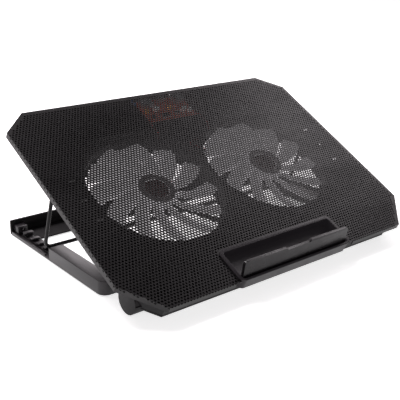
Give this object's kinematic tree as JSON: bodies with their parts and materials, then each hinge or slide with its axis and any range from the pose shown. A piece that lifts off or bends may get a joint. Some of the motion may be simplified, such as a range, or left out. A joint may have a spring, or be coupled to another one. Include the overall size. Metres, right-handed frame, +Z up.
{
  "type": "laptop cooling pad",
  "caption": "Tilted laptop cooling pad: perforated metal deck over two fans, folding front stop flap, hinged U-shaped base with notched racks and a folding wire bail.",
  "frame": {"origin": "on the floor under the middle of the whole part, with the deck at its tilted rest position", "axes": "+X to the right as seen by the user, along the width; +Y from the user towards the raised back; +Z up"},
  "size_m": [0.38, 0.2652, 0.1379],
  "materials": {
    "mesh_steel": "satin black perforated sheet",
    "black_plastic": "fine-grained moulded plastic",
    "trim_plastic": "smooth satin plastic",
    "fan_plastic": "smoke-grey satin plastic",
    "bright_steel": "nickel-plated",
    "black_wire": "gloss black enamel",
    "soft_rubber": "matt",
    "coil_copper": "enamelled copper winding",
    "board_laminate": "solder-masked laminate",
    "lead_insulation": "red insulation",
    "led_lens": "tinted lens"
  },
  "bodies": {
    "base": {"base_rail_left": "black_plastic", "notch_rack_left": "black_plastic", "floor_pad_front_left": "soft_rubber", "floor_pad_rear_left": "soft_rubber", "back_screw_left": "bright_steel", "base_rail_right": "black_plastic", "notch_rack_right": "black_plastic", "floor_pad_front_right": "soft_rubber", "floor_pad_rear_right": "soft_rubber", "back_screw_right": "bright_steel", "base_back_panel": "black_plastic"},
    "deck": {"mesh_panel": "mesh_steel", "front_tray": "trim_plastic", "housing_floor": "black_plastic", "housing_wall": "black_plastic", "electronics_bay": "black_plastic", "housing_flange_left": "black_plastic", "fan_motor_left": "coil_copper", "fan_collar_left": "black_plastic", "fan_guard_left": "black_plastic", "fan_lead_left": "lead_insulation", "housing_flange_right": "black_plastic", "fan_motor_right": "coil_copper", "fan_collar_right": "black_plastic", "fan_guard_right": "black_plastic", "fan_lead_right": "lead_insulation", "circuit_board": "board_laminate", "usb_socket_left": "bright_steel", "usb_socket_right": "bright_steel", "switch_body": "bright_steel", "status_led": "led_lens", "rear_bezel": "black_plastic", "housing_screw_1": "bright_steel", "housing_screw_2": "bright_steel", "housing_screw_3": "bright_steel", "housing_screw_4": "bright_steel", "housing_screw_5": "bright_steel", "housing_screw_6": "bright_steel", "hinge_pin_left": "bright_steel", "bail_clip_left": "black_plastic", "hinge_pin_right": "bright_steel", "bail_clip_right": "black_plastic"},
    "bail": {"wire_bail": "black_wire"},
    "flap": {"stop_flap": "trim_plastic", "flap_pin_left": "bright_steel", "flap_pin_right": "bright_steel"},
    "fan_left": {"fan_rotor_left": "fan_plastic", "fan_magnet_left": "bright_steel", "fan_shaft_left": "bright_steel", "hub_label_left": "soft_rubber"},
    "fan_right": {"fan_rotor_right": "fan_plastic", "fan_magnet_right": "bright_steel", "fan_shaft_right": "bright_steel", "hub_label_right": "soft_rubber"},
    "switch": {"switch_slider": "soft_rubber"}
  },
  "joints": [
    {"name": "deck_tilt", "type": "hinge", "parent": "base", "child": "deck", "pos_m": [0, -0.08788, 0.013], "axis": [1, 0, 0], "range_deg": [-26, 0]},
    {"name": "bail_fold", "type": "hinge", "parent": "deck", "child": "bail", "pos_m": [0, 0.02985, 0.08282], "axis": [1, 0, 0], "range_deg": [0, 98.45]},
    {"name": "stop_flap_fold", "type": "hinge", "parent": "deck", "child": "flap", "pos_m": [0, -0.12571, 0.01852], "axis": [1, 0, 0], "range_deg": [-73, 0]},
    {"name": "fan_spin_left", "type": "hinge", "parent": "deck", "child": "fan_left", "pos_m": [-0.0755, 0.00063, 0.06745], "axis": [0, -0.4384, 0.8988], "continuous": true},
    {"name": "fan_spin_right", "type": "hinge", "parent": "deck", "child": "fan_right", "pos_m": [0.0755, 0.00063, 0.06745], "axis": [0, -0.4384, 0.8988], "continuous": true},
    {"name": "switch_slide", "type": "slide", "parent": "deck", "child": "switch", "axis": [1, 0, 0], "range_m": [0, 0.0032]}
  ],
  "couplings": [
    {"joint": "bail_fold", "follows": "deck_tilt", "ratio": -3.7864}
  ]
}
